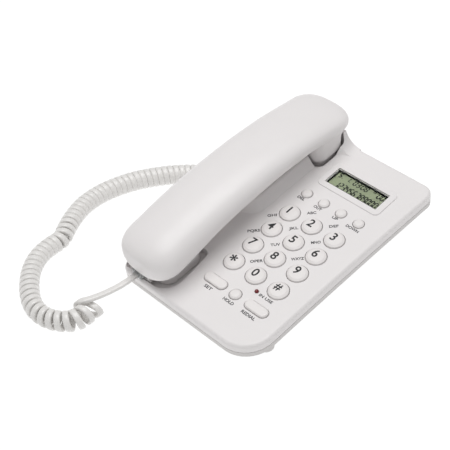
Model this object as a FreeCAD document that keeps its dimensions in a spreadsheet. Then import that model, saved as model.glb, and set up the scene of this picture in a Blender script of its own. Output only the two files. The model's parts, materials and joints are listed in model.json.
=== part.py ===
import FreeCAD, Part
import math
import os
import re
import Sketcher
from FreeCAD import Placement, Rotation, Vector

# A desk telephone: a thin tilted slab with a wedge underneath, a cradle on its left side with the
# handset lying in it, a keypad, a display, and a curly cord from the handset's mouth end round to
# the left side of the base.
#
# Two frames are used.  FACE has its origin on the key face at the middle of the "2" key: X runs to
# the right along the key rows, Y up the face away from the user, Z out of the face.  TABLE is FACE
# without its tilt, with Z = 0 on the table.  Sizes are millimetres and degrees.

doc = FreeCAD.newDocument("desk_telephone")
sheet = doc.addObject("Spreadsheet::Sheet", "Sizes")
PARTS = []

SIZES = {
    # the slab and its two shells
    "tilt": 9.2, "face_height": 29.5, "shift_x": 18.6, "shift_y": 12.8,
    "slab_front": 107.3, "slab_back": 79.1, "right_front": 41.2, "right_back": 45.0,
    "left_front": 79.0, "left_back": 82.6, "corner_front": 22.0, "corner_back": 9.0,
    "upper_skirt": 6.3, "slab_deep": 10.5, "seam": 0.5, "wall": 2.0, "rim_round": 2.4,
    "belly_left": 74.0, "belly_right": 18.0, "belly_front": 84.0, "belly_back": 64.0,
    "pad_high": 1.2, "pad_wide": 10.0, "pod_x": 34.5, "pod_y": 86.0, "rear_pad_y": 54.0,
    # cradle
    "recess_deep": 5.9, "tub_wall": 1.6, "ear_recess_front": 44.6, "ear_recess_back": 77.1,
    "ear_recess_half": 24.0, "saddle_right": 42.0, "saddle_front": 14.5, "saddle_high": 8.0,
    "saddle_slope": 6.4,
    "end_wall_high": 11.0, "end_wall_right": 35.2, "end_wall_blend": 14.0, "end_wall_ramp": 14.0,
    # keys and buttons
    "pitch_x": 20.0, "pitch_y": 18.6, "key_wide": 14.4, "key_proud": 1.7, "key_flange": 16.8,
    "key_gap": 0.45, "flange_top": 2.3, "flange_thick": 1.0, "key_hollow": 9.6,
    "key_edge": 0.9, "row_y": 21.4, "row_x": -22.9, "row_pitch": 15.4, "button_wide": 7.8,
    "button_proud": 1.5, "button_edge": 0.8, "low_y": -75.6, "set_x": -17.6,
    "hold_x": 0.3, "redial_x": 19.05, "hold_wide": 8.4, "pill_long": 18.6, "pill_wide": 7.6,
    "pill_flange": 2.0,
    # display and lamp
    "window_x": 1.4, "window_y": 46.55, "window_wide": 45.2, "window_tall": 16.4,
    "bezel_wide": 4.6, "bezel_proud": 0.8, "window_thick": 1.0, "glass_thick": 1.6,
    "window_ledge": 0.6, "gasket_wide": 0.5,
    "lamp_x": 9.35, "lamp_y": -65.0, "lamp_wide": 3.0,
    # boards and what they carry
    "mat_top": 5.0, "mat_thick": 1.2, "board_thick": 1.6, "board_left": -29.8,
    "board_right": 31.0, "board_front": -86.0, "board_back": 60.0, "dome_wide": 8.0,
    "dome_high": 1.4, "line_board_top": 22.4, "line_board_left": -70.0, "line_board_right": -14.0,
    "line_board_front": 22.0, "line_board_back": 60.0,
    "socket_wide": 11.2, "socket_tall": 9.6, "socket_deep": 13.0, "port_wide": 8.0,
    "port_tall": 6.9, "base_socket_y": 38.0, "line_socket_x": -22.0,
    "hook_x": -56.0, "hook_y": 55.4, "hook_wide": 9.0,
    # screws
    "screw_head": 5.2, "screw_head_high": 1.2, "screw_shank": 2.6,
    "screw_slot_long": 3.4, "screw_slot_wide": 0.8,
    # handset
    "grip_x": -56.0, "grip_half": 24.3, "mouth_end": -108.0, "ear_end": 88.0,
    "top_peak": 39.0, "top_peak_y": -20.0, "top_radius": 435.0, "end_round": 20.0,
    "cup_front": 47.2, "cup_back": 75.8, "cup_low": -5.0, "ear_cup_half": 22.4,
    "ear_rim": 1.7, "ear_step": 3.0,
    "mouth_cup_half": 14.5, "mouth_cup_front": -97.5, "mouth_cup_back": -63.0,
    "jack_block_half": 7.8, "jack_block_front": -104.0, "jack_block_back": -86.0,
    "jack_block_low": -1.9,
    "handset_socket_x": -59.9, "handset_socket_z": 4.8, "handset_socket_y": -101.4,
    "notch_wide": 12.0, "notch_low": 0.4, "notch_high": 9.4,
    # the curly cord
    "cord_wide": 3.6, "curl_wide": 13.4, "plug_wide": 7.6, "plug_tall": 6.5, "plug_long": 13.5,
}


def fill_sheet():
    for row, (alias, value) in enumerate(SIZES.items(), 1):
        sheet.set("A%d" % row, alias)
        sheet.set("B%d" % row, str(value))
        sheet.setAlias("B%d" % row, alias)
    doc.recompute()


def size(alias):
    return float(sheet.get(alias))


def formula(text):
    """Write a formula of plain size names as an expression on the sheet's cells."""
    return re.sub(r"[a-z_]{4,}", lambda word: "Sizes." + word.group(0), str(text))


def bind(item, **formulas):
    for name, text in formulas.items():
        item.setExpression(name.replace("__", "."), formula(text))
    return item


def at(item, x="0", y="0", z="0"):
    return bind(item, Placement__Base__x=x, Placement__Base__y=y, Placement__Base__z=z)


def box(name, x0, x1, y0, y1, z0, z1):
    item = doc.addObject("Part::Box", name)
    bind(item, Length="(%s) - (%s)" % (x1, x0), Width="(%s) - (%s)" % (y1, y0),
         Height="(%s) - (%s)" % (z1, z0))
    return at(item, x0, y0, z0)


def cylinder(name, wide, z0, z1, x="0", y="0"):
    item = doc.addObject("Part::Cylinder", name)
    bind(item, Radius="(%s) / 2" % wide, Height="(%s) - (%s)" % (z1, z0))
    return at(item, x, y, z0)


def fuse(name, items):
    item = doc.addObject("Part::MultiFuse", name)
    item.Shapes = items
    return item


def cut(name, base, tools):
    item = doc.addObject("Part::Cut", name)
    item.Base = base
    item.Tool = tools[0] if len(tools) == 1 else fuse(name + "_tools", tools)
    return item


def group(name, items):
    item = doc.addObject("Part::Compound", name)
    item.Links = items
    return item


def shaped(name, shape):
    item = doc.addObject("Part::Feature", name)
    item.Shape = shape
    return item


def face_frame():
    turn = Rotation(Vector(1, 0, 0), size("tilt"))
    return Placement(Vector(size("shift_x"), size("shift_y"), size("face_height")), turn)


def table_frame():
    return Placement(Vector(size("shift_x"), size("shift_y"), 0), Rotation())


def keep(item, label, frame=None):
    """Name a finished sub-part, stand it in its frame, and list it for export."""
    frame = frame or face_frame()
    if any("Placement" in name for name, text in item.ExpressionEngine):
        item = group(item.Name + "_set", [item])
    item.Label = label
    item.Placement = frame.multiply(item.Placement)
    PARTS.append(item)
    return item


# ------------------------------------------------------------------ sketches

def origin_plane(body, role):
    return [part for part in body.Origin.OriginFeatures if part.Role == role][0]


def sketch_on(body, role):
    sketch = body.newObject("Sketcher::SketchObject", body.Name + "_sketch")
    sketch.AttachmentSupport = [(origin_plane(body, role), "")]
    sketch.MapMode = "FlatFace"
    return sketch


def draw_outline(sketch, corners):
    """Draw a closed outline whose corners' coordinates are formulas of the sizes."""
    count = len(corners)
    points = [[number(text) for text in corner] for corner in corners]
    for place in range(count):
        a, b = points[place], points[(place + 1) % count]
        sketch.addGeometry(Part.LineSegment(Vector(a[0], a[1], 0), Vector(b[0], b[1], 0)))
    for place in range(count):
        sketch.addConstraint(Sketcher.Constraint("Coincident", place, 2, (place + 1) % count, 1))
    for place, (across, up) in enumerate(corners):
        pin(sketch, place, "X", across)
        pin(sketch, place, "Y", up)


def pin(sketch, line, way, text):
    value = number(text)
    if abs(value) < 1e-9:
        axis = -2 if way == "X" else -1
        sketch.addConstraint(Sketcher.Constraint("PointOnObject", line, 1, axis))
        return
    mark = sketch.addConstraint(Sketcher.Constraint("Distance" + way, -1, 1, line, 1, value))
    sketch.setExpression("Constraints[%d]" % mark, formula(text))


def number(text):
    """The value of a formula of plain size names."""
    probe = sheet.evalExpression(formula(text).replace("Sizes.", ""))
    return float(probe)


def turned(name, corners):
    """A body turned about Z from a half outline in the XZ plane."""
    body = doc.addObject("PartDesign::Body", name)
    sketch = sketch_on(body, "XZ_Plane")
    draw_outline(sketch, corners)
    turn = body.newObject("PartDesign::Revolution", name + "_turn")
    turn.Profile = sketch
    turn.ReferenceAxis = (sketch, ["V_Axis"])
    turn.Angle = 360
    return body


def plate(name, x0, x1, y0, y1, thick, top):
    """A flat plate padded downwards from its top face."""
    body = doc.addObject("PartDesign::Body", name)
    sketch = sketch_on(body, "XY_Plane")
    draw_outline(sketch, [(x0, y0), (x1, y0), (x1, y1), (x0, y1)])
    bind(sketch, AttachmentOffset__Base__z=top)
    pad = body.newObject("PartDesign::Pad", name + "_pad")
    pad.Profile = sketch
    pad.Reversed = True
    bind(pad, Length=thick)
    return body


def upright_edges(shape):
    flat = 1e-6
    return [edge for edge in shape.Edges
            if edge.BoundBox.XLength < flat and edge.BoundBox.YLength < flat]


def near(edge, x, y, reach=0.6):
    middle = edge.BoundBox.Center
    return math.hypot(middle.x - x, middle.y - y) < reach


# ------------------------------------------------------------------ slab and cradle shapes

def bowed_side(front, back):
    """A side of the slab: it flares gently towards the back corner."""
    flare = 0.3
    middle = Vector(front.x + flare * (back.x - front.x), (front.y + back.y) / 2, front.z)
    return Part.Arc(front, middle, back).toShape()


def slab(inset, low, high, round_over=0.0):
    """The slab's outline, drawn in by inset, between two heights."""
    front, back = -size("slab_front") + inset, size("slab_back") - inset
    corners = [Vector(-size("left_front") + inset, front, low),
               Vector(size("right_front") - inset, front, low),
               Vector(size("right_back") - inset, back, low),
               Vector(-size("left_back") + inset, back, low)]
    left, right, far_right, far_left = corners
    edges = [Part.LineSegment(left, right).toShape(), bowed_side(right, far_right),
             Part.LineSegment(far_right, far_left).toShape(), bowed_side(left, far_left)]
    face = Part.Face(Part.Wire(edges))
    solid = face.extrude(Vector(0, 0, high - low))
    small = size("corner_back")
    for corner, radius in zip(corners, (small, size("corner_front"), small, small)):
        edge = [e for e in upright_edges(solid) if near(e, corner.x, corner.y)]
        solid = solid.makeFillet(max(radius - inset, 1.0), edge)
    if round_over:
        top = [e for e in solid.Edges if e.BoundBox.ZMin > high - 1e-6]
        solid = solid.makeFillet(round_over, top)
    return solid


def block(x0, x1, y0, y1, z0, z1, corner=0.0):
    solid = Part.makeBox(x1 - x0, y1 - y0, z1 - z0, Vector(x0, y0, z0))
    return solid.makeFillet(corner, upright_edges(solid)) if corner else solid


def rod(wide, z0, z1, x, y):
    return Part.makeCylinder(wide / 2, z1 - z0, Vector(x, y, z0))


def mouth_recess(grow, low, high):
    """The front recess narrows towards the saddle; its front right corner is a wide arc."""
    corners = [(-77.0 - grow, -104.8 - grow), (-35.2 + grow, -104.8 - grow),
               (-35.2 + grow, -86.0), (-38.4 + grow, -60.3 + grow), (-77.0 - grow, -60.3 + grow)]
    points = [Vector(x, y, low) for x, y in corners]
    solid = Part.Face(Part.makePolygon(points + points[:1])).extrude(Vector(0, 0, high - low))
    radii = (4.0, 13.0, 0, 5.0, 4.0)
    for (x, y), radius in zip(corners, radii):
        if radius:
            edge = [e for e in upright_edges(solid) if near(e, x, y)]
            solid = solid.makeFillet(radius + grow, edge)
    return solid


def ear_recess(grow, low, high):
    half = size("ear_recess_half") + grow
    middle = size("grip_x")
    return block(middle - half, middle + half, size("ear_recess_front") - grow,
                 size("ear_recess_back") + (grow if low > -9 and grow < 1 else 0), low, high, 7.0)


def saddle_loft(left, right, front, back, top, inset):
    """The saddle widens downwards by its slope; right and front are its top's edges."""
    foot, slope = -1.0, size("saddle_slope")
    low = ring_at(left, right + slope - inset, front - slope + inset, back, foot, 14.0)
    high = ring_at(left, right - inset, front + inset, back, top - inset, 10.0)
    return Part.makeLoft([low, high], True, True)


def ring_at(x0, x1, y0, y1, height, corner):
    """Closed wire of a rounded rectangle at a height."""
    solid = block(x0, x1, y0, y1, height, height + 1, corner)
    low = [f for f in solid.Faces if f.BoundBox.ZMax < height + 1e-6][0]
    return low.OuterWire


def cradle_rise():
    """Saddle under the grip and the end wall behind the ear cup, both standing on the face."""
    left = -size("left_back")
    top = size("saddle_high")
    right, front, back = -size("saddle_right"), -size("saddle_front"), size("ear_recess_front")
    saddle = saddle_loft(left - 4, right, front, back + 16, top, 0.0)
    edges = [e for e in saddle.Edges if e.BoundBox.ZMin > top - 1e-6]
    saddle = saddle.makeFillet(3.0, edges)
    high, right, blend = size("end_wall_high"), size("end_wall_right"), size("end_wall_blend")
    steepest = math.acos(1 - high / blend)
    foot = Vector(-right + blend * math.sin(steepest), 0, 0)
    middle = steepest / 2
    bend = Vector(foot.x - blend * math.sin(middle), 0, blend * (1 - math.cos(middle)))
    outline = [Part.LineSegment(Vector(left - 4, 0, -1), Vector(left - 4, 0, high)).toShape(),
               Part.LineSegment(Vector(left - 4, 0, high), Vector(-right, 0, high)).toShape(),
               Part.Arc(Vector(-right, 0, high), bend, foot).toShape(),
               Part.LineSegment(foot, foot + Vector(0, 0, -1)).toShape(),
               Part.LineSegment(foot + Vector(0, 0, -1), Vector(left - 4, 0, -1)).toShape()]
    profile = Part.Face(Part.Wire(outline))
    ramp = profile.extrude(Vector(0, -size("end_wall_ramp"), -high - 0.5))
    wall = profile.extrude(Vector(0, 12, 0)).fuse(ramp.common(block(-99, 0, -99, 0, -1, high + 1)))
    wall.translate(Vector(0, size("slab_back") - 10.5, 0))
    return saddle, wall


def screw_places():
    """Where the two shells are screwed together: x, y in the face frame and belly or slab."""
    return [(38.2, 66.0, False), (35.4, -62.0, False), (-66.0, -5.0, True), (-66.0, 14.0, True)]


def upper_shell():
    skirt, wall = size("upper_skirt"), size("wall")
    body = slab(0, -skirt, 0, size("rim_round"))
    saddle, end_wall = cradle_rise()
    envelope = slab(0, -skirt, 30.0)
    body = body.fuse([saddle.common(envelope), end_wall.common(envelope)]).removeSplitter()
    body = body.cut(slab(wall, -skirt - 1, -wall))
    body = body.cut(saddle_loft(-92.0, -size("saddle_right"), -size("saddle_front"),
                                size("ear_recess_front") + 16, size("saddle_high"), wall + 0.2)
                    .common(block(-79.5, 0, -60, size("ear_recess_front") - 2.4, -9, 9)))
    inside = slab(wall - 0.4, -skirt, -wall + 0.5).fuse(slab(wall + 0.2, -30.0, -skirt))
    tub = size("tub_wall")
    deep = size("recess_deep")
    ear_tub = ear_recess(tub, -deep - tub, -wall + 0.5).common(inside)
    mouth_tub = mouth_recess(tub, -deep - tub, -wall + 0.5).common(inside)
    saddle_roof = size("saddle_high") - wall + 0.5
    bosses = [rod(7.0, -8.3, saddle_roof if in_belly else -wall + 0.5, x, y)
              for x, y, in_belly in screw_places()]
    body = body.fuse([ear_tub, mouth_tub] + bosses)
    cuts = [ear_recess(0, -deep, 40.0), mouth_recess(0, -deep, 40.0)]
    cuts += [rod(size("screw_shank"), -9.0, -3.2, x, y) for x, y, _ in screw_places()]
    cuts.append(rod(size("hook_wide") + 0.8, -12.0, 0.0, size("hook_x"), size("hook_y")))
    gap = 2 * size("key_gap")
    for x, y in key_places().values():
        cuts.append(rod(size("key_wide") + gap, -4.0, 1.0, x, y))
    for name, (x, y) in round_button_places().items():
        wide = size("hold_wide") if name == "hold" else size("button_wide")
        cuts.append(rod(wide + gap, -4.0, 1.0, x, y))
    for x, y in pill_places().values():
        cuts.append(stadium(size("pill_long") + gap, size("pill_wide") + gap, -4.0, 1.0, x, y))
    cuts.append(rod(size("lamp_wide") + 0.2, -4.0, 1.0, size("lamp_x"), size("lamp_y")))
    body = body.fuse(bezel_ring())
    cuts += window_seat()
    return body.cut(cuts)


def bezel_ring():
    x, y = size("window_x"), size("window_y")
    half_x = size("window_wide") / 2 + size("bezel_wide")
    half_y = size("window_tall") / 2 + size("bezel_wide")
    ring = block(x - half_x, x + half_x, y - half_y, y + half_y, -1.0, size("bezel_proud"), 4.0)
    top = [e for e in ring.Edges if e.BoundBox.ZMin > size("bezel_proud") - 1e-6]
    return ring.makeFillet(0.75, top)


def window_seat():
    """The opening that the display is seen through and the rebate that its window sits in."""
    x, y = size("window_x"), size("window_y")
    half_x, half_y = size("window_wide") / 2, size("window_tall") / 2
    floor = size("bezel_proud") - 0.3 - size("window_thick")
    seat = block(x - half_x, x + half_x, y - half_y, y + half_y, floor, 3.0)
    edge = size("window_ledge")
    opening = block(x - half_x + edge, x + half_x - edge, y - half_y + edge, y + half_y - edge,
                    -4.0, 3.0)
    return [seat, opening]


def lower_shell():
    """A shallow tray with a wedge below it whose floor lies parallel to the table."""
    skirt, deep, wall = size("upper_skirt"), size("slab_deep"), size("wall")
    left, right = -size("belly_left"), size("belly_right")
    front, back = -size("belly_front"), size("belly_back")
    seam = size("seam")
    tray = slab(0, -deep, -skirt - seam).fuse(slab(seam, -skirt - seam, -skirt))
    belly = block(left, right, front, back, -60.0, -deep + 1, 8.0)
    floor = under_table_plane(size("pad_high"))
    outer = tray.fuse(belly.cut(floor))
    hollow = block(left + wall, right - wall, front + wall, back - wall, -60.0, -deep + wall, 6.0)
    hollow = hollow.cut(under_table_plane(size("pad_high") + wall))
    inner = slab(wall, -deep + wall, -skirt + 1).fuse(hollow)
    body = outer.cut(inner)
    pods = []
    for x in (size("pod_x"), -size("left_front") + 8.5):
        pod = Part.makeCylinder(6.0, 30.0, Vector(x, -size("pod_y"), -40.0))
        pods.append(pod.common(block(x - 9, x + 9, -100, -70, -30, -deep + 0.5))
                    .cut(under_table_plane(size("pad_high"))))
    towers, bores = [], []
    for x, y, in_belly in screw_places():
        head = -deep + size("screw_head_high")
        if in_belly:
            head = -deep
            towers.append(rod(9.4, -60.0, -deep + wall - 0.2, x, y)
                          .cut(under_table_plane(size("pad_high"))))
        bores.append(rod(size("screw_head") + 0.8, -60.0, head, x, y))
        bores.append(rod(size("screw_shank") + 0.4, -60.0, 0.0, x, y))
    body = body.fuse(pods + towers).cut(bores)
    return body.cut([socket_hole("base"), socket_hole("line")] + sound_slots())


def under_table_plane(height):
    """Everything below a level plane at this height over the table, in the face frame."""
    solid = Part.makeBox(600, 600, 200, Vector(-300, -300, height - 200))
    solid.Placement = face_frame().inverse().multiply(table_frame())
    return solid


def socket_hole(which):
    half = size("port_wide") / 2 + 0.4
    low, high = -size("line_board_top") + 0.8, -size("line_board_top") + 9.0
    if which == "base":
        y = size("base_socket_y")
        return block(-size("belly_left") - 1, -size("belly_left") + size("wall") + 0.2,
                     y - half, y + half, low, high)
    x = size("line_socket_x")
    return block(x - half, x + half, size("belly_back") - size("wall") - 0.2,
                 size("belly_back") + 1, low, high)


def sound_slots():
    """Slots in the floor of the wedge under the ringer."""
    x, y = ringer_place()
    slots = []
    for step in range(-2, 3):
        slot = Part.makeBox(20.0 - 3 * abs(step), 1.6, 8.0,
                            Vector(x - 10.0 + 1.5 * abs(step), y + 4.2 * step - 0.8, -1.0))
        slot.Placement = face_frame().inverse().multiply(table_frame())
        slots.append(slot)
    return slots


def ringer_place():
    """x, y of the ringer in the table frame."""
    return 1.5, 36.0


def stadium(long, wide, z0, z1, x, y):
    return block(x - long / 2, x + long / 2, y - wide / 2, y + wide / 2, z0, z1, wide / 2 - 0.01)


# ------------------------------------------------------------------ keys and buttons

def key_places():
    names = ["1", "2", "3", "4", "5", "6", "7", "8", "9", "star", "0", "hash"]
    return {name: ((place % 3 - 1) * size("pitch_x"), -(place // 3) * size("pitch_y"))
            for place, name in enumerate(names)}


def round_button_places():
    places = {name: (size("row_x") + step * size("row_pitch"), size("row_y"))
              for step, name in enumerate(["delete", "out", "up", "down"])}
    places["hold"] = (size("hold_x"), size("low_y"))
    return places


def pill_places():
    return {"set": (size("set_x"), size("low_y")), "redial": (size("redial_x"), size("low_y"))}


def stand(item, x, y, label):
    item.Placement = Placement(Vector(x, y, 0), Rotation())
    return keep(item, label)


def make_keys():
    cap, foot, hollow = "key_wide / 2", "key_flange / 2", "key_hollow / 2"
    low = "-(flange_top + flange_thick)"
    outline = [("0", "key_proud"), (cap + " - 2 * key_edge", "key_proud - 0.12"),
               (cap + " - 0.3", "key_proud - key_edge"), (cap, "key_proud - 2 * key_edge"),
               (cap, "-flange_top"), (foot, "-flange_top"), (foot, low), (hollow, low),
               (hollow, "-0.6"), ("0", "-0.6")]
    for name, (x, y) in key_places().items():
        stand(turned("key_%s_body" % name, outline), x, y, "key_" + name)


def make_round_buttons():
    for name, (x, y) in round_button_places().items():
        cap = "hold_wide / 2" if name == "hold" else "button_wide / 2"
        foot = cap + " + 1"
        low = "-(flange_top + flange_thick)"
        outline = [("0", "button_proud"), (cap + " - 1.6 * button_edge", "button_proud - 0.15"),
                   (cap + " - 0.25", "button_proud - button_edge"),
                   (cap, "button_proud - 1.8 * button_edge"), (cap, "-flange_top"),
                   (foot, "-flange_top"), (foot, low), ("0", low)]
        stand(turned("button_%s_body" % name, outline), x, y, "button_" + name)


def make_pills():
    long, wide = size("pill_long"), size("pill_wide")
    top, spread = size("button_proud"), size("pill_flange")
    base = -size("flange_top")
    for name, (x, y) in pill_places().items():
        cap = stadium(long, wide, base, top, 0, 0)
        crown = [e for e in cap.Edges if e.BoundBox.ZMin > top - 1e-6]
        cap = cap.makeFillet(1.3, crown)
        foot = stadium(long + spread, wide + spread, base - size("flange_thick"), base, 0, 0)
        stand(shaped("pill_%s" % name, cap.fuse(foot).removeSplitter()), x, y, "button_" + name)


# ------------------------------------------------------------------ display, lamp, boards

def make_display():
    half_x, half_y = "window_wide / 2 - 0.15", "window_tall / 2 - 0.15"
    window = plate("window_plate", "window_x - (%s)" % half_x, "window_x + (%s)" % half_x,
                   "window_y - (%s)" % half_y, "window_y + (%s)" % half_y, "window_thick",
                   "bezel_proud - 0.3")
    keep(window, "display_window")
    glass = plate("glass_plate", "window_x - window_wide / 2 - 2",
                  "window_x + window_wide / 2 + 2", "window_y - window_tall / 2 - 1.4",
                  "window_y + window_tall / 2 + 2.5", "glass_thick", "-(wall + 0.1)")
    keep(glass, "display_glass")
    frame = cut("display_frame_cut", box(
        "display_frame_block", "window_x - window_wide / 2 - 1.4",
        "window_x + window_wide / 2 + 1.4", "window_y - window_tall / 2 - 0.9",
        "window_y + window_tall / 2 + 2.4", "-(mat_top + mat_thick)",
        "-(wall + 0.1 + glass_thick)"), [box(
            "display_frame_hollow", "window_x - window_wide / 2 + 1.6",
            "window_x + window_wide / 2 - 1.6", "window_y - window_tall / 2 + 2",
            "window_y + window_tall / 2 - 0.5", "-9", "0")])
    keep(frame, "display_frame")
    keep(cut("gasket_cut", gasket_block("gasket_outside", "0", "-(wall + 0.05)", "-0.65"),
             [gasket_block("gasket_hollow", "gasket_wide", "-(wall + 1)", "0")]),
         "display_gasket")


def gasket_block(name, inset, low, high):
    """A block as large as the display's opening, drawn in by inset on its four sides."""
    across = "(window_wide / 2 - window_ledge - %s)" % inset
    up = "(window_tall / 2 - window_ledge - %s)" % inset
    return box(name, "window_x - " + across, "window_x + " + across, "window_y - " + up,
               "window_y + " + up, low, high)


def make_lamp():
    body = cylinder("lamp_stem", "lamp_wide", "-4.6", "0.1", "lamp_x", "lamp_y")
    collar = cylinder("lamp_collar", "lamp_wide + 0.9", "-(mat_top + mat_thick)", "-4.6",
                      "lamp_x", "lamp_y")
    dome = doc.addObject("Part::Sphere", "lamp_dome")
    bind(dome, Radius="lamp_wide / 2")
    at(dome, "lamp_x", "lamp_y", "0.1")
    keep(fuse("lamp_body", [body, collar, dome]), "in_use_lamp")


def make_keypad_mat():
    """One rubber sheet under all keys, with a dome standing up inside each key."""
    top, thick = -size("mat_top"), size("mat_thick")
    sheet_part = block(-29.4, 31.0, -82.0, 28.5, top - thick, top, 3.0)
    domes = []
    for x, y in key_places().values():
        domes.append(Part.makeCone(size("dome_wide") / 2, size("dome_wide") / 2 - 1,
                                   size("dome_high"), Vector(x, y, top - 0.01)))
    lamp = rod(size("lamp_wide") + 3.0, top - 3, top + 3, size("lamp_x"), size("lamp_y"))
    keep(shaped("keypad_mat_sheet", sheet_part.fuse(domes).cut(lamp)), "keypad_mat")


def make_boards():
    top = "-(mat_top + mat_thick)"
    main = plate("main_board_plate", "board_left", "board_right", "board_front", "board_back",
                 "board_thick", top)
    keep(main, "main_circuit_board")
    line = plate("line_board_plate", "line_board_left", "line_board_right", "line_board_front",
                 "line_board_back", "board_thick", "-line_board_top")
    keep(line, "line_circuit_board")
    chip = fuse("main_chip_parts", [
        cylinder("chip_blob", "16", "-(mat_top + mat_thick + board_thick + 0.6)",
                 "-(mat_top + mat_thick + board_thick)", "0", "-28"),
        cylinder("crystal_blob", "7", "-(mat_top + mat_thick + board_thick + 0.5)",
                 "-(mat_top + mat_thick + board_thick)", "8", "-28")])
    keep(chip, "main_controller_chip")


def make_socket(label, frame):
    """A modular socket: a block with a square port, a latch slot and two board pegs."""
    half = "socket_wide / 2"
    body = box(label + "_block", "-(%s)" % half, half, "0", "socket_deep", "0", "socket_tall")
    port = box(label + "_port", "-port_wide / 2", "port_wide / 2", "-1", "socket_deep - 1.4",
               "1.2", "1.2 + port_tall")
    latch = box(label + "_latch", "-1.6", "1.6", "-1", "7", "1.2 + port_tall - 0.1",
                "port_tall + 2.3")
    item = cut(label + "_cut", body, [port, latch])
    keep(item, label, frame)


def make_sockets():
    board = -size("line_board_top")
    inner = size("wall") + 0.2
    turn = Rotation(Vector(0, 0, 1), -90)
    place = Placement(Vector(-size("belly_left") + inner, size("base_socket_y"), board), turn)
    make_socket("base_cord_socket", face_frame().multiply(place))
    turn = Rotation(Vector(0, 0, 1), 180)
    place = Placement(Vector(size("line_socket_x"), size("belly_back") - inner, board), turn)
    make_socket("line_socket", face_frame().multiply(place))


def make_hook():
    """Plunger under the ear cup and the switch that its foot presses."""
    top = "cup_low - 0.15"
    stem = cylinder("hook_stem", "hook_wide", "-14.6", top, "hook_x", "hook_y")
    collar = cylinder("hook_collar", "hook_wide + 3.6", "-13.4", "-12", "hook_x", "hook_y")
    keep(fuse("hook_plunger_body", [stem, collar]), "hook_plunger")
    case = box("hook_case", "hook_x - 6.5", "hook_x + 6.5", "hook_y - 3", "hook_y + 3",
               "-line_board_top", "-16")
    lever = box("hook_lever", "hook_x - 5", "hook_x + 5", "hook_y - 1.8", "hook_y + 1.8",
                "-16", "-14.7")
    keep(fuse("hook_switch_body", [case, lever]), "hook_switch")


def make_ballast():
    floor = "pad_high + wall"
    slab_plate = plate("ballast_slab", "-54", "4", "-52", "14", "2.5", floor + " + 2.5")
    keep(slab_plate, "ballast_plate", table_frame())


def make_ringer():
    x, y = ringer_place()
    floor = "pad_high + wall"
    can = cylinder("ringer_can", "27", floor, floor + " + 4.5", str(x), str(y))
    cup = cylinder("ringer_magnet", "15", floor + " + 4.5", floor + " + 7", str(x), str(y))
    bore = cylinder("ringer_bore", "23", floor + " - 1", floor + " + 1.2", str(x), str(y))
    keep(cut("ringer_body", fuse("ringer_parts", [can, cup]), [bore]), "ringer_speaker",
         table_frame())


def make_pads():
    pads = []
    rear = "rear_pad_y"
    front = "-(pod_y * cos(tilt) - 2.6)"
    for step, (x, y) in enumerate([("pod_x", front), ("-(left_front - 8.5)", front),
                                   ("belly_right - 8", rear), ("-(belly_left - 8)", rear)]):
        pads.append(cylinder("pad_%d" % step, "pad_wide", "0", "pad_high", x, y))
    keep(group("pads", pads), "rubber_feet", table_frame())


def make_screw(name, seat, tip, x, y):
    """A screw seen from below: its head hangs under seat and has a cross slot."""
    low = "%s - screw_head_high" % seat
    head = cylinder(name + "_head", "screw_head", low, seat, x, y)
    shank = cylinder(name + "_shank", "screw_shank", seat, tip, x, y)
    long, wide = "screw_slot_long / 2", "screw_slot_wide / 2"
    slots = [box("%s_slot_%d" % (name, turn), "%s - %s" % (x, a), "%s + %s" % (x, a),
                 "%s - %s" % (y, b), "%s + %s" % (y, b), low + " - 0.1", low + " + 0.7")
             for turn, (a, b) in enumerate([(long, wide), (wide, long)])]
    return cut(name, fuse(name + "_parts", [head, shank]), slots)


def make_base_screws():
    screws = []
    for step, (x, y, in_belly) in enumerate(screw_places()):
        seat = "-slab_deep" if in_belly else "screw_head_high - slab_deep"
        screws.append(make_screw("base_screw_%d" % step, seat, "-3.2", str(x), str(y)))
    keep(group("base_screw_set", screws), "base_screws")


# ------------------------------------------------------------------ handset

LOW_LINE = [(-108.0, 4.8), (-96.0, 5.4), (-82.0, 7.2), (-68.0, 10.4), (-52.0, 13.8),
            (-30.0, 16.2), (8.0, 17.8), (40.0, 16.4), (60.0, 13.0), (88.0, 12.0)]


def eased(points, y):
    """Smooth curve through points (y, z), with no overshoot between them."""
    rises = [(b[1] - a[1]) / (b[0] - a[0]) for a, b in zip(points, points[1:])]
    slopes = [rises[0]]
    for before, after in zip(rises, rises[1:]):
        same_way = before * after > 0
        slopes.append(2 * before * after / (before + after) if same_way else 0.0)
    slopes.append(rises[-1])
    step = max(i for i in range(len(points) - 1) if i == 0 or points[i][0] <= y)
    (y0, z0), (y1, z1) = points[step], points[step + 1]
    span = y1 - y0
    part = (y - y0) / span
    square, cube = part ** 2, part ** 3
    return ((2 * cube - 3 * square + 1) * z0 + (cube - 2 * square + part) * span * slopes[step]
            + (3 * square - 2 * cube) * z1 + (cube - square) * span * slopes[step + 1])


def grip_top(y, inset):
    radius = size("top_radius") - inset
    return size("top_peak") - inset - radius + math.sqrt(
        radius ** 2 - (y - size("top_peak_y")) ** 2)


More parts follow.
